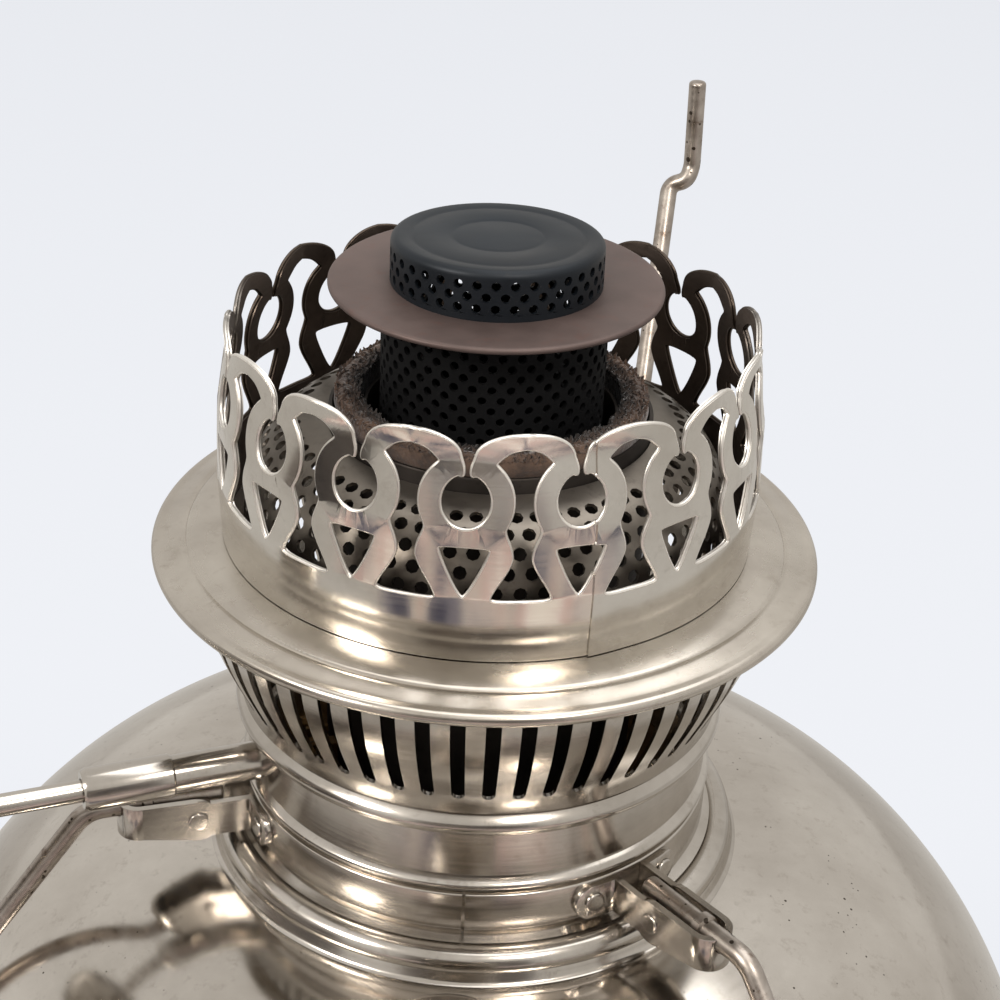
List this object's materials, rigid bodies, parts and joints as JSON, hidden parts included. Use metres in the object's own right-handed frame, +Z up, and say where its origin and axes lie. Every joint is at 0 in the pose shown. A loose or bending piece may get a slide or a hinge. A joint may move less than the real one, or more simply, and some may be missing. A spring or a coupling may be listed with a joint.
{
  "type": "kerosene lamp",
  "caption": "Nickel-plated centre-draft kerosene table lamp: round font on a footed pedestal, pierced chimney gallery, flame spreader, tubular wick and folding shade arms.",
  "frame": {"origin": "middle of the face the lamp stands on, on the lamp's axis", "axes": "+Z up along the lamp's axis, -Y towards the front where the filler is, the wick raiser points to -X"},
  "size_m": [0.1821, 0.1833, 0.2925],
  "materials": {
    "nickel_plate": "worn bright nickel plate on brass",
    "dull_nickel": "dull nickel plate",
    "aged_brass": "aged and heat-stained",
    "blackened_steel": "blue-black heat scale",
    "scorched_steel": "rust-brown heat scale",
    "wick_cotton": "woven cotton, charred at the top",
    "cork": "matte",
    "pitted_wire": "worn plating, speckled with rust"
  },
  "bodies": {
    "lamp": {"foot_bar": "nickel_plate", "pedestal": "nickel_plate", "font_bowl": "nickel_plate", "font_shoulder": "nickel_plate", "font_seam": "nickel_plate", "draft_tube": "aged_brass", "filler_neck": "nickel_plate", "collar": "nickel_plate", "burner_neck": "nickel_plate", "burner_floor": "aged_brass", "slotted_bell": "nickel_plate", "flange_dish": "nickel_plate", "air_basket": "dull_nickel", "wick_tube": "aged_brass", "raiser_bush": "nickel_plate", "packing_nut": "nickel_plate", "spindle_packing": "cork", "holder_band": "nickel_plate", "ear_left": "nickel_plate", "ear_right": "nickel_plate", "ear_back": "nickel_plate", "band_rivets": "nickel_plate", "cross_rivets": "nickel_plate"},
    "gallery": {"gallery_crown": "nickel_plate"},
    "spreader": {"spreader_tube": "blackened_steel", "spreader_disc": "scorched_steel", "spreader_cap": "blackened_steel"},
    "wick_lift": {"wick": "wick_cotton", "wick_carrier": "aged_brass", "rack": "aged_brass"},
    "raiser": {"spindle": "nickel_plate", "pinion": "aged_brass", "knob": "nickel_plate", "knob_nut": "nickel_plate"},
    "filler_lid": {"filler_cap": "nickel_plate", "filler_gasket": "cork"},
    "left_arm": {"arm_left": "pitted_wire"},
    "right_arm": {"arm_right": "pitted_wire"},
    "back_arm": {"arm_back": "pitted_wire"}
  },
  "joints": [
    {"name": "gallery_lift", "type": "slide", "parent": "lamp", "child": "gallery", "axis": [0, 0, 1], "range_m": [0, 0.045]},
    {"name": "spreader_lift", "type": "slide", "parent": "lamp", "child": "spreader", "axis": [0, 0, 1], "range_m": [0, 0.06]},
    {"name": "raiser_turn", "type": "hinge", "parent": "lamp", "child": "raiser", "pos_m": [0, 0, 0.2207], "axis": [-0.9304, -0.3665, 0], "range_deg": [-109, 136.3]},
    {"name": "wick_slide", "type": "slide", "parent": "lamp", "child": "wick_lift", "axis": [0, 0, 1], "range_m": [-0.008, 0.01]},
    {"name": "filler_lift", "type": "slide", "parent": "lamp", "child": "filler_lid", "axis": [0, 0, 1], "range_m": [0, 0.025]},
    {"name": "left_arm_swing", "type": "hinge", "parent": "lamp", "child": "left_arm", "pos_m": [0, 0, 0.21535], "axis": [-0.9483, -0.3173, 0], "range_deg": [-90, 0]},
    {"name": "right_arm_swing", "type": "hinge", "parent": "lamp", "child": "right_arm", "pos_m": [0, 0, 0.21535], "axis": [0.6361, -0.7716, 0], "range_deg": [0, 180]},
    {"name": "back_arm_swing", "type": "hinge", "parent": "lamp", "child": "back_arm", "pos_m": [0, 0, 0.21535], "axis": [0.3907, 0.9205, 0], "range_deg": [-169, 11]}
  ],
  "couplings": [
    {"joint": "wick_slide", "follows": "raiser_turn", "m_per_rad": 0.0042}
  ]
}
